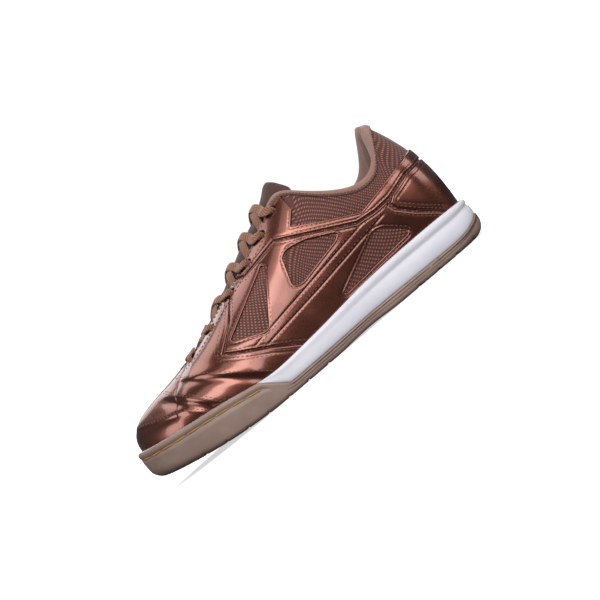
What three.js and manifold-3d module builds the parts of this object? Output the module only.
// A low-cut indoor soccer shoe for the left foot, as an assembly of the pieces that a shoemaker joins.
// Millimetres. +X points to the toe, +Y to the outer (lateral) side and +Z up; the sole stands on z = 0.
import * as THREE from "three";
import { mergeVertices } from "three/addons/utils/BufferGeometryUtils.js";
import Module from "manifold-3d";

const wasm = await Module();
wasm.setup();

// Driving sizes
const shoeLength = 290;
const ballWidth = 102; // the sole across the ball of the foot
const soleHeight = 28; // ground to the top of the sole's rim at the heel
const upperHeight = 80; // sole's rim to the top of the upper at the heel
const layerGap = 0.3; // left between pieces that are glued or stitched together

const outsoleThickness = 6.2;
const cupWall = 2.4; // the rubber wall that wraps the toe and the heel
const soleRim = 2.5; // the foam wall that holds the upper's edge
const rimSetback = 1; // how far the rim's top edge lies inside the sole's widest outline
const footbedDepth = 5; // the footbed lies this far under the rim's top
const springHeight = 12; // how far the toe curves up from the ground
const springStart = 0.655; // share of the length where the toe spring begins
const springPower = 1.9;
const archHeight = 1.2; // how far the tread is clear of the ground under the arch
const arch = { start: 0.28, end: 0.5 }; // shares of the length

const upperWall = 2;
const leatherThickness = 1.1; // the glossy panels stitched over the upper
const insoleThickness = 4;
const padThickness = 6; // foam inside the collar
const padDepth = 40; // how far the collar's foam reaches down inside
const rollHeight = 3; // the collar's rolled edge, above the upper's own edge
const rollCover = 5.5; // how far the rolled edge comes down outside
const tongueThickness = 6;
const tongueRise = 21; // the tongue stands out this far beyond the top eyelets
const tongueArch = 10.5; // how far the top of the tongue bulges up through the throat
const tongueCrown = 2.5; // 2 for a round arch, more for a flatter one
const laceWidth = 6.5;
const laceThickness = 1.5;
const eyeletRadius = 2.4;
const eyeletInset = 8.3; // eyelet centres from the throat's edge
const grooveWidth = 2.2; // flex grooves across the tread
const grooveDepth = 1.5;

// Mesh steps
const stationsPerSide = 24;
const ribSteps = 7;

const halfBall = ballWidth / 2;
const featherInset = rimSetback + soleRim + 3.6 * layerGap + leatherThickness;

// The sole from the heel (first row) to the toe tip (last row). along: % of the length; lateral and medial:
// % of the half ball width; rim: height of the sole's rim and split: height of the seam between rubber and foam,
// both % of the sole's height; edge: the bottom edge's radius in mm.
const soleRows = [
  { along: 0.0, lateral: 0, medial: 0, rim: 96, split: 54, edge: 11 },
  { along: 1.9, lateral: 36, medial: -35, rim: 97, split: 43, edge: 9 },
  { along: 6.9, lateral: 60, medial: -59, rim: 100, split: 28, edge: 5 },
  { along: 14.5, lateral: 69, medial: -66, rim: 101, split: 27, edge: 3 },
  { along: 22.8, lateral: 71, medial: -66, rim: 100, split: 28, edge: 3 },
  { along: 31.0, lateral: 74, medial: -61, rim: 97, split: 29, edge: 3 },
  { along: 39.3, lateral: 79, medial: -58, rim: 90, split: 29, edge: 3 },
  { along: 47.6, lateral: 86, medial: -61, rim: 81, split: 27, edge: 3 },
  { along: 55.9, lateral: 94, medial: -73, rim: 75, split: 26, edge: 3 },
  { along: 64.1, lateral: 100, medial: -87, rim: 71, split: 26, edge: 3 },
  { along: 71.7, lateral: 101, medial: -97, rim: 82, split: 28, edge: 3.5 },
  { along: 78.6, lateral: 94, medial: -99, rim: 94, split: 30, edge: 4 },
  { along: 85.2, lateral: 81, medial: -93, rim: 102, split: 32, edge: 4.5 },
  { along: 91.0, lateral: 63, medial: -81, rim: 109, split: 34, edge: 5.5 },
  { along: 95.9, lateral: 38, medial: -65, rim: 115, split: 38, edge: 7 },
  { along: 99.0, lateral: 12, medial: -43, rim: 120, split: 44, edge: 8 },
  { along: 100.0, lateral: -16, medial: -16, rim: 122, split: 48, edge: 8.5 },
];

// The upper's ribs, each rising from the sole row of the same number to the collar, throat or vamp crest.
// top: % of the length; side: % of the half ball width; up: % of the upper's height above the sole's rim;
// wall: how far a rib first rises, and lateral/medial: how far it first leans out, in mm;
// shoulder: how far it reaches out before its top, fall: how far it lies under its top there, in mm;
// slope: rise per mm towards the toe at the top.
const ribRows = [
  { top: 7.4, side: 0, up: 101, wall: 36, lateral: 2.6, medial: 2.6, shoulder: 15.5, fall: 28, slope: 0 },
  { top: 7.9, side: 21, up: 100, wall: 35, lateral: 2.8, medial: 2.8, shoulder: 13, fall: 27, slope: 0 },
  { top: 10.2, side: 43, up: 86.5, wall: 31, lateral: 3.2, medial: 3.2, shoulder: 7, fall: 23, slope: 0 },
  { top: 13.8, side: 56, up: 67.5, wall: 25, lateral: 4, medial: 4, shoulder: 4.5, fall: 17, slope: 0 },
  { top: 19.6, side: 62, up: 64, wall: 23, lateral: 4, medial: 5, shoulder: 4, fall: 16, slope: 0 },
  { top: 25.9, side: 60, up: 77, wall: 26, lateral: 3.6, medial: 7, shoulder: 5, fall: 18, slope: 0 },
  { top: 31.2, side: 50, up: 96, wall: 30, lateral: 3.2, medial: 9, shoulder: 9, fall: 20, slope: 0 },
  { top: 35.6, side: 38, up: 111, wall: 33, lateral: 3, medial: 10, shoulder: 14, fall: 19, slope: -0.2 },
  { top: 41.6, side: 32, up: 102.5, wall: 32, lateral: 3, medial: 9, shoulder: 17, fall: 14, slope: -0.4 },
  { top: 49.2, side: 28.5, up: 90, wall: 28, lateral: 3, medial: 7, shoulder: 18.5, fall: 10, slope: -0.43 },
  { top: 57.2, side: 25, up: 74, wall: 24, lateral: 3.4, medial: 5, shoulder: 19.5, fall: 7, slope: -0.42 },
  { top: 64.8, side: 21, up: 58.7, wall: 20, lateral: 3.8, medial: 4, shoulder: 20.5, fall: 4, slope: -0.38 },
  { top: 71.7, side: 18, up: 45.2, wall: 17, lateral: 4, medial: 4, shoulder: 21, fall: 1.5, slope: -0.32 },
  { top: 77.6, side: 15, up: 37.6, wall: 15, lateral: 4, medial: 4, shoulder: 21, fall: 0, slope: -0.27 },
  { top: 82.6, side: 12, up: 31.6, wall: 13.5, lateral: 3.6, medial: 3.6, shoulder: 20, fall: 0, slope: -0.22 },
  { top: 86.6, side: 10, up: 27.6, wall: 13, lateral: 2.8, medial: 3, shoulder: 19.5, fall: 0, slope: -0.17 },
  { top: 89.4, side: 8, up: 24.8, wall: 13, lateral: 2.2, medial: 2.2, shoulder: 19, fall: 0, slope: -0.14 },
];
const lastRow = soleRows.length - 1;
const turnRows = 2 * lastRow; // once round the shoe: heel, lateral side, toe, medial side
const throatFront = 0.762; // share of the length where the throat closes
const throatRound = 9; // length of the throat's round front end
const crestShift = { start: 0.7, most: -8 }; // the vamp's crest runs inwards to the big toe

const clamp = (x, low = 0, high = 1) => Math.min(high, Math.max(low, x));
const mix = (a, b, t) => a + (b - a) * t;
const smooth = (t) => t * t * (3 - 2 * t);

// A smooth closed curve through a ring of numbers: a uniform cubic B-spline whose control values are sharpened,
// so that it passes within a hair of each number and keeps its curvature smooth.
function ring(values) {
  const n = values.length;
  const at = (list, i) => list[((i % n) + n) % n];
  const control = values.map((v, i) => v - (at(values, i - 1) - 2 * v + at(values, i + 1)) / 6);
  return (turn) => {
    const i = Math.floor(turn);
    const f = turn - i;
    const g = 1 - f;
    const inner = 3 * f ** 3 - 6 * f ** 2 + 4;
    const next = 3 * g ** 3 - 6 * g ** 2 + 4;
    const sum = g ** 3 * at(control, i - 1) + inner * at(control, i) + next * at(control, i + 1);
    return (sum + f ** 3 * at(control, i + 2)) / 6;
  };
}

// One column of a table, once round the shoe. The medial side may have a column of its own.
function column(rows, lateral, medial = lateral) {
  const back = rows.slice(1, -1).reverse();
  return ring([...rows.map((r) => r[lateral]), ...back.map((r) => r[medial])]);
}

const sole = {
  along: column(soleRows, "along"),
  side: column(soleRows, "lateral", "medial"),
  rim: column(soleRows, "rim"),
  split: column(soleRows, "split"),
  edge: column(soleRows, "edge"),
};
const rib = {
  top: column(ribRows, "top"),
  side: column(ribRows, "side"),
  up: column(ribRows, "up"),
  wall: column(ribRows, "wall"),
  lean: column(ribRows, "lateral", "medial"),
  shoulder: column(ribRows, "shoulder"),
  fall: column(ribRows, "fall"),
  slope: column(ribRows, "slope"),
};

// Plan outline of the sole, moved inwards by `inset`
function outline(turn, inset = 0) {
  const step = 0.01;
  const x = (t) => (sole.along(t) / 100) * shoeLength;
  const y = (t) => (sole.side(t) / 100) * halfBall;
  const dx = x(turn + step) - x(turn - step);
  const dy = y(turn + step) - y(turn - step);
  const size = Math.hypot(dx, dy);
  const normal = new THREE.Vector2(-dy / size, dx / size);
  return { x: x(turn) - normal.x * inset, y: y(turn) - normal.y * inset, normal };
}

const rimHeight = (turn) => (sole.rim(turn) / 100) * soleHeight;

// Height of the footbed at a distance x from the heel
function footbed(x) {
  let low = 0;
  let high = lastRow;
  for (let k = 0; k < 24; k++) {
    const turn = (low + high) / 2;
    if ((sole.along(turn) / 100) * shoeLength < x) low = turn;
    else high = turn;
  }
  return rimHeight(low) - footbedDepth;
}

const groundLine = (x) => {
  const share = clamp((x / shoeLength - springStart) / (1 - springStart));
  const vault = Math.sin(Math.PI * clamp((x / shoeLength - arch.start) / (arch.end - arch.start)));
  return springHeight * share ** springPower + archHeight * vault ** 2;
};

// 0 where the foam wall shows, 1 where the rubber cup covers it round the toe
const cupStart = 0.622;
const cupFull = 0.685;
const cupShare = (turn) => clamp((sole.along(turn) / 100 - cupStart) / (cupFull - cupStart));
const splitHeight = (turn) => mix((sole.split(turn) / 100) * soleHeight, rimHeight(turn), cupShare(turn));

const isLateral = (turn) => turn <= lastRow;
const crestSide = (x) => crestShift.most * smooth(clamp((x / shoeLength - crestShift.start) / (1 - crestShift.start)));

// Half of the throat's gap is cut down to nothing where the vamp closes
function openShare(x) {
  return Math.sqrt(clamp((throatFront * shoeLength - x) / throatRound));
}

function ribTop(turn) {
  const x = (rib.top(turn) / 100) * shoeLength;
  const half = (rib.side(turn) / 100) * halfBall * openShare(x);
  const y = crestSide(x) + (isLateral(turn) ? half : -half);
  return new THREE.Vector3(x, y, rimHeight(turn) + (rib.up(turn) / 100) * upperHeight);
}

const isOpen = (turn) => openShare((rib.top(turn) / 100) * shoeLength) > 0;

// A point of the upper's outer surface. v runs from 0 in the sole to 1 at the top edge, and a little past it.
function ribPoint(turn, v) {
  const lean = rib.lean(turn);
  const buried = footbedDepth - 1;
  const foot = outline(turn, featherInset + (buried * lean) / rib.wall(turn));
  const out = foot.normal;
  const low = new THREE.Vector3(foot.x, foot.y, rimHeight(turn) - buried);
  const top = ribTop(turn);
  const first = low.clone().add(new THREE.Vector3(out.x * lean, out.y * lean, rib.wall(turn)));
  const reach = rib.shoulder(turn);
  const drop = rib.fall(turn) - rib.slope(turn) * out.x * reach;
  const second = top.clone().add(new THREE.Vector3(out.x * reach, out.y * reach, -drop));
  if (v <= 1) return new THREE.CubicBezierCurve3(low, first, second, top).getPoint(v);
  const ahead = top.clone().sub(second).normalize();
  return top.clone().addScaledVector(ahead, (v - 1) * 60);
}

function rawNormal(turn, v) {
  const step = 0.02;
  const low = Math.min(v, 1 - step);
  const up = ribPoint(turn, low + step).sub(ribPoint(turn, Math.max(low - step, 0)));
  const round = ribPoint(turn + step, low).sub(ribPoint(turn - step, low));
  return up.cross(round).normalize();
}

// Outward normal. Where the two sides meet on the vamp's crest they share one.
function ribNormal(turn, v) {
  const own = rawNormal(turn, v);
  if (v < 1 || isOpen(turn)) return own;
  return own.add(rawNormal(turnRows - turn, v)).normalize();
}

const offsetPoint = (turn, v, offset) => ribPoint(turn, v).addScaledVector(ribNormal(turn, v), offset);

function ribLength(turn) {
  let length = 0;
  for (let k = 0; k < 12; k++) length += ribPoint(turn, k / 12).distanceTo(ribPoint(turn, (k + 1) / 12));
  return length;
}

// v at a distance down from the top edge
const vBelow = (turn, distance) => 1 - distance / ribLength(turn);

// A point at a distance s below the top edge (above it if negative) and an offset from the surface
function belowEdge(turn, s, offset) {
  const v = s > 0 ? vBelow(turn, s) : 1;
  const normal = ribNormal(turn, v);
  const base = s > 0 ? ribPoint(turn, v) : ribPoint(turn, 1 - s / 60);
  return { point: base.addScaledVector(normal, offset), normal };
}

// A closed solid from a list of points and triangles: equal points are merged and flat triangles dropped.
function solidOf(points, triangles) {
  const corners = triangles.flat().flatMap((i) => points[i].toArray());
  const loose = new THREE.BufferGeometry().setAttribute("position", new THREE.Float32BufferAttribute(corners, 3));
  return solidOfGeometry(loose);
}

function solidOfGeometry(geometry) {
  const bare = geometry.index ? geometry.toNonIndexed() : geometry.clone();
  bare.deleteAttribute("normal");
  bare.deleteAttribute("uv");
  const merged = mergeVertices(bare, 1e-3);
  const kept = [];
  const index = merged.index.array;
  for (let i = 0; i < index.length; i += 3) {
    const [a, b, c] = [index[i], index[i + 1], index[i + 2]];
    if (a !== b && b !== c && c !== a) kept.push(a, b, c);
  }
  const mesh = new wasm.Mesh({
    numProp: 3,
    vertProperties: merged.attributes.position.array,
    triVerts: new Uint32Array(kept),
  });
  return new wasm.Manifold(mesh);
}

function meshOf(name, solid, look) {
  const made = solid.getMesh();
  const positions = new Float32Array(made.numVert * 3);
  for (let i = 0; i < made.numVert; i++) {
    const from = i * made.numProp;
    positions.set(made.vertProperties.subarray(from, from + 3), i * 3);
  }
  const geometry = new THREE.BufferGeometry();
  geometry.setAttribute("position", new THREE.BufferAttribute(positions, 3));
  geometry.setIndex(new THREE.BufferAttribute(new Uint32Array(made.triVerts), 1));
  geometry.computeVertexNormals();
  const mesh = new THREE.Mesh(geometry, new THREE.MeshStandardMaterial(look));
  mesh.name = name;
  return mesh;
}

const quad = (a, b, c, d) => [[a, b, c], [a, c, d]];

// Stations once round the shoe, alike on both sides and closer together at the heel and toe
const crowding = 0.35;
const turns = [];
for (let i = 0; i < 2 * stationsPerSide; i++) {
  const share = i / stationsPerSide;
  turns.push(lastRow * (share - (crowding * Math.sin(2 * Math.PI * share)) / (2 * Math.PI)));
}

// A wall that follows the upper all the way round, between two offsets from its surface
function wallSolid({ inner, outer }) {
  const n = turns.length;
  const steps = ribSteps;
  const points = [];
  for (const offset of [outer, inner]) {
    for (const turn of turns) {
      for (let j = 0; j <= steps; j++) {
        const v = j / steps;
        points.push(offsetPoint(turn, v, offset(turn, v)));
      }
    }
  }
  const id = (layer, i, j) => (layer * n + (i % n)) * (steps + 1) + j;
  const faces = [];
  for (let i = 0; i < n; i++) {
    for (let j = 0; j < steps; j++) {
      faces.push(...quad(id(0, i, j), id(0, i, j + 1), id(0, i + 1, j + 1), id(0, i + 1, j)));
      faces.push(...quad(id(1, i, j), id(1, i + 1, j), id(1, i + 1, j + 1), id(1, i, j + 1)));
    }
    faces.push(...quad(id(0, i, 0), id(0, i + 1, 0), id(1, i + 1, 0), id(1, i, 0)));
    const closed = !isOpen(turns[i]) && !isOpen(turns[(i + 1) % n]);
    if (!closed) faces.push(...quad(id(0, i, steps), id(1, i, steps), id(1, i + 1, steps), id(0, i + 1, steps)));
  }
  return solidOf(points, faces);
}

// A plate between two rings of the outline, filled across at its bottom and top. Each ring is {inset, z},
// both functions of the turn, from the bottom up.
function plateSolid(rings, bottomZ, topZ, acrossSteps = 4) {
  const n = turns.length;
  const half = n / 2;
  const points = [];
  for (const { inset, z } of rings) {
    for (const turn of turns) {
      const p = outline(turn, inset(turn));
      points.push(new THREE.Vector3(p.x, p.y, z(turn, p.x)));
    }
  }
  const faces = [];
  for (let k = 0; k + 1 < rings.length; k++) {
    for (let i = 0; i < n; i++) {
      const j = (i + 1) % n;
      faces.push(...quad(k * n + i, (k + 1) * n + i, (k + 1) * n + j, k * n + j));
    }
  }
  const fill = (start, height, faceUp) => {
    const grid = [];
    for (let i = 0; i <= half; i++) {
      const lateral = points[start + i];
      const medial = points[start + ((n - i) % n)];
      const line = [start + i];
      for (let k = 1; k < acrossSteps; k++) {
        if (i === 0 || i === half) {
          line.push(start + i);
          continue;
        }
        const p = lateral.clone().lerp(medial, k / acrossSteps);
        p.z = height(p.x);
        points.push(p);
        line.push(points.length - 1);
      }
      line.push(start + ((n - i) % n));
      grid.push(line);
    }
    for (let i = 0; i < half; i++) {
      for (let k = 0; k < acrossSteps; k++) {
        const corners = [grid[i][k], grid[i][k + 1], grid[i + 1][k + 1], grid[i + 1][k]];
        faces.push(...quad(...(faceUp ? corners : corners.reverse())));
      }
    }
  };
  fill(0, bottomZ, false);
  fill((rings.length - 1) * n, topZ, true);
  return solidOf(points, faces);
}

// The rubber outsole: tread plate, heel wrap and toe cup. With `grow` it is the space that it needs.
const stitchDrop = 5; // the cup's stitch groove lies this far under its top edge
function outsoleSolid(grow = 0) {
  const floor = (x) => groundLine(x) + outsoleThickness + grow;
  const top = (turn) => splitHeight(turn) + grow;
  const grooved = (turn) => 0.8 * smooth(cupShare(turn));
  const outside = -4 * grow;
  const low = (turn, x) => groundLine(x) + outside;
  const rise = (turn, x, share) => low(turn, x) + share * sole.edge(turn);
  const stitchZ = (turn, x) => Math.max(top(turn) - stitchDrop, mix(rise(turn, x, 1), top(turn), 0.35));
  const rings = [
    { inset: (t) => sole.edge(t) + outside, z: (t, x) => low(t, x) },
    { inset: (t) => 0.3 * sole.edge(t) + outside, z: (t, x) => rise(t, x, 0.3) },
    { inset: () => outside, z: (t, x) => rise(t, x, 0.9) },
    { inset: () => outside, z: (t, x) => mix(stitchZ(t, x), rise(t, x, 0.9), 0.3) },
    { inset: (t) => outside + (grow ? 0 : grooved(t)), z: stitchZ },
    { inset: () => outside, z: (t, x) => mix(stitchZ(t, x), top(t), 0.3) },
    { inset: () => outside + 0.5, z: top },
    { inset: () => cupWall + rimSetback - 0.2 + grow, z: top },
    { inset: () => cupWall + rimSetback + grow, z: (t, x) => floor(x) },
  ];
  return plateSolid(rings, (x) => low(0, x), floor);
}

// A bar across the sole, for cutting grooves
function crossBar(x, width, depth, length, z, y = 0, angle = 0) {
  const bar = new THREE.BoxGeometry(width, length, depth);
  bar.rotateZ(angle);
  bar.translate(x, y, z);
  return solidOfGeometry(bar);
}

const treadGrooves = { heel: [0.07, 0.13, 0.19, 0.25], ball: [0.5, 0.56, 0.62, 0.68, 0.74, 0.8, 0.86] };
const sideNotch = { at: 0.16, width: 1.2, depth: 0.8 };
function outsole() {
  let solid = outsoleSolid();
  for (const [zone, angle] of [["heel", 0.12], ["ball", -0.16]]) {
    for (const share of treadGrooves[zone]) {
      const x = share * shoeLength;
      const bar = crossBar(x, grooveWidth, 2 * grooveDepth, 2 * ballWidth, groundLine(x), 0, angle);
      solid = solid.subtract(bar);
    }
  }
  const x = sideNotch.at * shoeLength;
  for (const side of [1, -1]) {
    const turn = side > 0 ? 3.2 : turnRows - 3.2;
    const edge = outline(turn, sideNotch.depth).y;
    const bar = crossBar(x, sideNotch.width, 2 * soleHeight, 20, 0, edge + side * 10);
    solid = solid.subtract(bar);
  }
  return solid;
}

// The foam midsole: a rim with a soft crease round the heel, and the footbed inside it
function midsole() {
  const creaseDepth = (turn) => 1.1 * smooth(clamp((0.5 - sole.along(turn) / 100) / 0.35));
  const level = (share) => (turn) => mix(splitHeight(turn), rimHeight(turn), share);
  const side = [
    { share: 0, inset: () => 0.5 },
    { share: 0.3, inset: () => 0.1 },
    { share: 0.52, inset: (t) => 0.3 + 0.2 * creaseDepth(t) },
    { share: 0.64, inset: (t) => 0.4 + creaseDepth(t) },
    { share: 0.76, inset: (t) => 0.4 },
    { share: 0.93, inset: (t) => 0.6 },
    { share: 1, inset: () => rimSetback },
  ];
  const buried = (turn, x) => groundLine(x) + 2;
  const rings = [
    { inset: () => 2 * cupWall, z: buried },
    { inset: () => 0.6, z: (t, x) => mix(buried(t, x), splitHeight(t), 0.7) },
    ...side.slice(1).map(({ share, inset }) => ({ inset, z: (t) => Math.min(level(share)(t), rimHeight(t)) })),
    { inset: () => rimSetback + soleRim, z: rimHeight },
    { inset: () => rimSetback + soleRim + 0.1, z: (t, x) => footbed(x) },
  ];
  const separated = rings.map((r, k) => ({ inset: r.inset, z: (t, x) => r.z(t, x) - (k < 9 ? 0.02 * (8 - k) : 0) }));
  const body = plateSolid(separated, (x) => groundLine(x) + 2, footbed);
  return body.subtract(outsoleSolid(layerGap));
}

// The removable sockliner on the footbed
function insole() {
  const inset = featherInset + upperWall + 1.5;
  const base = (x) => footbed(x) + layerGap;
  const rings = [
    { inset: () => inset + 0.6, z: (t, x) => base(x) },
    { inset: () => inset, z: (t, x) => base(x) + 0.4 * insoleThickness },
    { inset: () => inset + 1, z: (t, x) => base(x) + insoleThickness },
  ];
  return plateSolid(rings, base, (x) => base(x) + insoleThickness, 2);
}

// A prism through the shoe from one side, with an outline given as seen from the lateral side
// in % of the length and % of the height of the upper above the ground. The outlines are drawn as seen
// from a little ahead of the shoe's side, so the prism runs forwards with its distance from the middle.
const sideHeight = soleHeight + upperHeight;
const sideLean = 0.12; // mm forwards for each mm outwards
function sidePrism(corners, from, to) {
  const scaled = corners.map(([x, z]) => new THREE.Vector2((x / 100) * shoeLength, (z / 100) * sideHeight));
  const shape = new THREE.Shape(scaled);
  const geometry = new THREE.ExtrudeGeometry(shape, { depth: to - from, bevelEnabled: false, steps: 2 });
  geometry.rotateX(Math.PI / 2); // shape's y goes up, and its depth towards -Y
  geometry.translate(0, to, 0);
  const position = geometry.getAttribute("position");
  for (let i = 0; i < position.count; i++) {
    position.setX(i, position.getX(i) + sideLean * Math.abs(position.getY(i)));
  }
  return solidOfGeometry(geometry);
}

// Rounds the corners of a side outline
function rounded(corners, radius) {
  const result = [];
  const n = corners.length;
  corners.forEach((corner, i) => {
    const here = new THREE.Vector2(...corner);
    const before = new THREE.Vector2(...corners[(i + n - 1) % n]);
    const after = new THREE.Vector2(...corners[(i + 1) % n]);
    const reach = Math.min(radius, here.distanceTo(before) / 2.2, here.distanceTo(after) / 2.2);
    const a = here.clone().add(before.sub(here).setLength(reach));
    const b = here.clone().add(after.sub(here).setLength(reach));
    for (const t of [0, 0.5, 1]) {
      const p = a.clone().multiplyScalar((1 - t) ** 2);
      p.addScaledVector(here, 2 * t * (1 - t)).addScaledVector(b, t * t);
      result.push([p.x, p.y]);
    }
  });
  return result;
}

// Side outlines of the glossy panels and of the mesh windows between them, heel at 0 and toe at 100
const panels = {
  counter: [[-4, 62], [2, 62], [8, 60.5], [13.5, 56], [15.2, 52.5], [14.6, 47.5], [11, 38], [5.8, 26], [5, 15], [-4, 15]],
  band: [
    [-4, 73], [2.9, 71.4], [12, 66.2], [21.7, 60.8], [29.6, 71.4], [36.8, 82.3],
    [34, 90], [34, 104], [45, 104], [57, 80.5], [53, 77], [42.5, 82.5],
    [24.1, 57.1], [19, 55.6], [14.4, 56.4], [8.2, 61.2], [2, 62.7], [-4, 62.7],
  ],
  vamp: [
    [110, 10], [110, 70], [80, 70], [58, 84], [59, 74.5], [63.5, 60], [69.5, 47.5], [66, 41.5],
    [59, 31], [52.5, 19], [52, 10],
  ],
  quarter: [
    [5.6, 15], [6.6, 26.5], [11.8, 38], [15.3, 47.5], [16, 52.5], [15.2, 55.1], [19.2, 54.8],
    [24.4, 56.1], [42.6, 81.5], [53.2, 76], [57.8, 79.6], [58.3, 74], [62.7, 60],
    [68.4, 47.8], [65.2, 42.3], [58, 31], [51.5, 19.5], [51, 15],
  ],
};
const windows = {
  front: [[65.2, 51], [64.2, 49.2], [56.6, 41.2], [48, 73.5], [48.6, 75]],
  middle: [[45.4, 52.5], [43.4, 50], [37, 54], [31, 57.5], [29.6, 60.2], [36.8, 69.8], [41.6, 72.2], [43.2, 70.3]],
  rear: [[37.2, 27.6], [36.6, 26.8], [16.2, 31], [15.8, 33], [20.5, 44.5], [22.4, 46]],
};
const windowRounding = 2;
const middle = 0.5; // half of the gap between the two sides' panels

// Raised ridges of the vamp, as seen from the side: % of the length at each % of height
const ridgeHeights = [15, 19, 26, 35, 45, 54, 62];
const ridgeLines = [
  [60.5, 62, 65.4, 69.8, 75, 81.5, 87],
  [71.5, 73.5, 76.4, 79.6, 83.6, 87.2, 90],
  [78, 78.6, 80.2, 84, 96, 104, 110],
];
const ridgeWidth = 5.5; // in mm
const ridgeStep = 0.6;
function ridgePrism(line) {
  const front = line.map((x, i) => [x, ridgeHeights[i]]);
  const back = front.map(([x, z]) => [x - (ridgeWidth / shoeLength) * 100, z]).reverse();
  return sidePrism([...front, ...back], -2 * ballWidth, 2 * ballWidth);
}

const upperShell = () => wallSolid({ outer: () => 0, inner: () => -upperWall });
const leather = (from, to) => wallSolid({ inner: () => from, outer: () => to });

// Eyelets, front to back, at rows of the tables
const eyeletRows = [12.45, 11.22, 10.1, 9.2, 8.35, 7.5];
const eyeletTurn = (k, lateral) => (lateral ? eyeletRows[k] : turnRows - eyeletRows[k]);
function eyelet(k, lateral, offset) {
  const turn = eyeletTurn(k, lateral);
  const v = vBelow(turn, eyeletInset);
  return { point: offsetPoint(turn, v, offset), normal: ribNormal(turn, v), turn, v };
}

function eyeletHoles() {
  const holes = [];
  for (let k = 0; k < eyeletRows.length; k++) {
    for (const lateral of [true, false]) {
      const { point, normal } = eyelet(k, lateral, 0);
      const pin = new THREE.CylinderGeometry(eyeletRadius, eyeletRadius, 12, 6);
      const turnTo = new THREE.Quaternion().setFromUnitVectors(new THREE.Vector3(0, 1, 0), normal);
      pin.applyQuaternion(turnTo);
      pin.translate(point.x, point.y, point.z);
      holes.push(solidOfGeometry(pin));
    }
  }
  return holes.reduce((all, hole) => all.add(hole));
}

// A body swept round the collar from the medial front end, past the heel, to the lateral front end.
// profile(turn) gives its section as a ring of [distance below the upper's edge, offset from its surface].
const rollStart = 8; // row where the collar's rolled edge ends, by the top eyelets
function collarSweep(profile, extra = 0) {
  const near = turns.filter((t) => t < rollStart + 1e-6);
  const round = [...near.slice(1).reverse().map((t) => -t), ...near];
  if (extra) round.splice(0, round.length, -rollStart - extra, ...round, rollStart + extra);
  const sections = round.map((turn) => {
    const own = (turn + turnRows) % turnRows;
    return profile(Math.abs(turn)).map(([s, offset]) => {
      return belowEdge(own, s, offset).point;
    });
  });
  return sweptSolid(sections);
}

// What the panels leave free for the rolled edge
const rollSpace = () => collarSweep(() => [
  [-rollHeight, 5],
  [rollCover + 2 * layerGap, 5],
  [rollCover + 2 * layerGap, -1],
  [-rollHeight, -1],
], 0.05);

// The padded collar: a roll over the upper's edge, and foam down the inside. `s` is the distance below the edge.
function collarPad() {
  const wall = upperWall + 2.6 * layerGap;
  return collarSweep((row) => {
    const full = smooth(clamp((rollStart - row) / 3.4));
    const thick = mix(1.2, padThickness, full);
    const depth = mix(13, padDepth, full);
    const outside = [
      [rollCover, 1.4],
      [rollCover * 0.5, 1.8],
      [-rollHeight * 0.4, 1.4],
      [-rollHeight, -upperWall * 0.6],
      [-rollHeight * 0.7, -wall - thick * 0.55],
      [rollCover * 0.8, -wall - thick],
      [depth * 0.5, -wall - thick],
      [depth, -wall - 0.8],
    ];
    const inside = [
      [rollCover, 1.7 * layerGap],
      [rollCover * 0.5, 1.7 * layerGap],
      [-layerGap, 1.7 * layerGap],
      [-layerGap, -upperWall * 0.6],
      [-layerGap, -wall],
      [rollCover * 0.8, -wall],
      [depth * 0.5, -wall],
      [depth, -wall],
    ];
    return [...outside, ...inside.reverse()];
  });
}

// A closed solid through a row of sections with the same number of points, capped at both ends
function sweptSolid(sections) {
  const n = sections[0].length;
  const points = sections.flat();
  const faces = [];
  for (let i = 0; i + 1 < sections.length; i++) {
    for (let k = 0; k < n; k++) {
      const next = (k + 1) % n;
      faces.push(...quad(i * n + k, i * n + next, (i + 1) * n + next, (i + 1) * n + k));
    }
  }
  for (const [start, flip] of [[0, true], [(sections.length - 1) * n, false]]) {
    for (let k = 0; k < n / 2 - 1; k++) {
      const corners = [k, k + 1, n - 2 - k, n - 1 - k].map((c) => start + c);
      faces.push(...quad(...(flip ? corners.reverse() : corners)));
    }
  }
  const solid = solidOf(points, faces);
  return solid.volume() < 0 ? solidOf(points, faces.map((f) => [...f].reverse())) : solid;
}

// The padded tongue, from under the vamp up through the throat and out over the top eyelets
const tongueRows = { front: 13.1, back: 7.9 };
const tongueTilt = new THREE.Vector3(-0.8, 0, 0.6);
function throatArch(row, t, under) {
  const edges = [row, turnRows - row].map((turn) => belowEdge(turn, 0, under).point);
  const along = clamp((tongueRows.front - row) / (tongueRows.front - tongueRows.back));
  const rise = tongueArch * smooth(clamp(along / 0.9)) * openShare((rib.top(row) / 100) * shoeLength);
  const p = edges[0].lerp(edges[1], t);
  p.z += rise * (1 - Math.abs(2 * t - 1) ** tongueCrown);
  return p;
}
function tongueSection(share) {
  const along = clamp(share / 0.75);
  const beyond = clamp((share - 0.75) / 0.25);
  const row = mix(tongueRows.front, tongueRows.back, along);
  const behindPad = smooth(clamp((along - 0.8) / 0.2));
  const under = -upperWall - mix(2.2 * layerGap, 2.6, behindPad);
  const reach = mix(8, 11, along);
  const pick = (turn, s) => belowEdge(turn, s, under).point;
  const bulge = [0, 0.25, 0.5, 0.75, 1].map((t) => throatArch(row, t, under));
  const lateral = [pick(row, reach), pick(row, reach / 2)];
  const medial = [pick(turnRows - row, reach / 2), pick(turnRows - row, reach)];
  const shift = tongueTilt.clone().multiplyScalar(beyond * tongueRise);
  const centre = bulge[2].y;
  return [...lateral, ...bulge, ...medial].map((p) => {
    const moved = p.clone().add(shift);
    moved.y = centre + (moved.y - centre) * (1 - 0.2 * beyond);
    return moved;
  });
}
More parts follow.
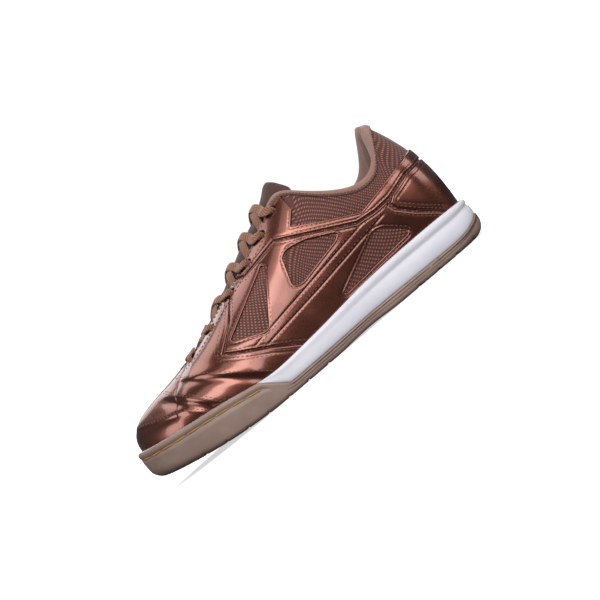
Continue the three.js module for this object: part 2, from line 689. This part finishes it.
function tongue() {
  const stations = 18;
  const samples = 8;
  const sections = [];
  for (let i = 0; i <= stations; i++) {
    const share = i / stations;
    const face = tongueSection(share);
    const curve = new THREE.CatmullRomCurve3(face, false, "centripetal");
    const tip = Math.max(clamp((share - 0.9) / 0.1), clamp((0.06 - share) / 0.06));
    const body = mix(2, tongueThickness, smooth(clamp(share / 0.5))) * mix(1, 1.5, clamp((share - 0.7) / 0.2));
    const thick = body * Math.sqrt(1 - 0.85 * tip * tip);
    const down = new THREE.Vector3(-0.45, 0, -0.89);
    const upper = [];
    const lower = [];
    for (let k = 0; k <= samples; k++) {
      const q = (2 * k) / samples - 1;
      const p = curve.getPoint(k / samples);
      const edge = Math.sqrt(Math.max(0, 1 - q ** 4));
      upper.push(p.clone().addScaledVector(down, 0.35 * thick * (1 - edge)));
      lower.push(p.clone().addScaledVector(down, thick * (0.35 + 0.65 * edge) + 0.3));
    }
    sections.push([...upper, ...lower.reverse()]);
  }
  return sweptSolid(sections);
}

// A flat lace over a row of points, each with its own surface normal
function strap(path) {
  const positions = new THREE.CatmullRomCurve3(path.map((p) => p.point), false, "centripetal");
  const normals = new THREE.CatmullRomCurve3(path.map((p) => p.normal), false, "centripetal");
  const steps = 6;
  const sections = [];
  for (let i = 0; i <= steps; i++) {
    const t = i / steps;
    const up = normals.getPoint(t).normalize();
    const side = positions.getTangent(t).cross(up).normalize().multiplyScalar(laceWidth / 2);
    const middlePoint = positions.getPoint(t);
    const lift = up.clone().multiplyScalar(laceThickness);
    const corners = [[-1, 0], [1, 0], [0.85, 1], [-0.85, 1]];
    sections.push(corners.map(([a, b]) => middlePoint.clone().addScaledVector(side, a).addScaledVector(lift, b)));
  }
  return sweptSolid(sections);
}

// One strand over the tongue, from beside an eyelet to beside one on the other side. Both ends are rows.
const laceClearance = layerGap + leatherThickness + 0.8;
const laceLift = 1.6; // over the tongue's arch
const laceRoom = 0.17; // rows between an eyelet's centre and each strand that stops beside it
function strand(from, to) {
  const ends = [[from, true], [to, false]];
  const path = [];
  for (const [row, lateral] of ends) {
    const turn = lateral ? row : turnRows - row;
    const edge = [];
    const overRoll = row < rollStart + 0.3;
    for (const s of [eyeletInset - eyeletRadius - 1, 2.5, overRoll ? -rollHeight : 0]) {
      edge.push(belowEdge(turn, s, laceClearance + (overRoll ? 0.5 : 0)));
    }
    path.push(...(lateral ? edge : edge.reverse()));
  }
  const middleRow = (t) => mix(from, to, t);
  const over = [0.2, 0.5, 0.8].map((t) => {
    const point = throatArch(middleRow(t), t, -upperWall);
    const chord = path[2].point.clone().lerp(path[3].point, t);
    point.z = Math.max(point.z + laceLift, chord.z + 0.2);
    return { point, normal: new THREE.Vector3(0.4, 0.5 - t, 0.92).normalize() };
  });
  path.splice(3, 0, ...over);
  return strap(path);
}

function lace(k) {
  const row = eyeletRows[k] + laceRoom;
  if (k === 0) return strand(row, row);
  const ahead = eyeletRows[k - 1] - laceRoom;
  return strand(ahead, row).add(strand(row, ahead));
}

const shoe = new THREE.Group();
shoe.name = "indoor_shoe";
const bottomUnit = new THREE.Group();
const gum = { color: 0x8f7867, roughness: 0.6, metalness: 0 };
const foam = { color: 0xe4e2ec, roughness: 0.55, metalness: 0 };
const patent = { color: 0x5a3026, roughness: 0.25, metalness: 0.8 };
const meshCloth = { color: 0x5a3329, roughness: 0.7, metalness: 0.1 };
const knit = { color: 0x765548, roughness: 0.9, metalness: 0 };
const laceCloth = { color: 0x8a5f45, roughness: 0.9, metalness: 0 };

bottomUnit.add(meshOf("outsole", outsole(), gum));
bottomUnit.add(meshOf("midsole", midsole(), foam));
bottomUnit.add(meshOf("insole", insole(), knit));
shoe.add(bottomUnit);

const holes = eyeletHoles();
const cleared = holes.add(rollSpace());
shoe.add(meshOf("upper", upperShell().subtract(holes), meshCloth));

const wide = 2 * ballWidth;
const overlays = new THREE.Group();
const leatherFace = layerGap + leatherThickness;
const plain = leather(layerGap, leatherFace).subtract(cleared);
overlays.add(meshOf("heel_counter", plain.intersect(sidePrism(panels.counter, -wide, wide)), patent));
const raised = leather(leatherFace - 0.4, leatherFace + ridgeStep).subtract(cleared);
const ridges = ridgeLines.map((line) => raised.intersect(ridgePrism(line)));
const vampBody = ridges.reduce((all, ridge) => all.add(ridge), plain);
overlays.add(meshOf("vamp", vampBody.intersect(sidePrism(panels.vamp, -wide, wide)), patent));
for (const [name, low, high] of [["lateral", middle, wide], ["medial", -wide, -middle]]) {
  const band = plain.intersect(sidePrism(panels.band, low, high));
  overlays.add(meshOf(`collar_band_${name}`, band, patent));
  let quarter = plain.intersect(sidePrism(panels.quarter, low, high));
  for (const corners of Object.values(windows)) {
    quarter = quarter.subtract(sidePrism(rounded(corners, windowRounding), low, high));
  }
  overlays.add(meshOf(`quarter_${name}`, quarter, patent));
}
shoe.add(overlays);

shoe.add(meshOf("collar_pad", collarPad(), knit));
shoe.add(meshOf("tongue", tongue(), knit));

const laces = new THREE.Group();
for (let k = 0; k < eyeletRows.length; k++) laces.add(meshOf(`lace_${k + 1}`, lace(k), laceCloth));
shoe.add(laces);

// The origin is the middle of the shoe's footprint, on the ground
const bounds = new THREE.Box3().setFromObject(shoe, true);
const middlePoint = bounds.getCenter(new THREE.Vector3());
for (const piece of shoe.children) piece.position.set(-middlePoint.x, -middlePoint.y, -bounds.min.z);

export default shoe;
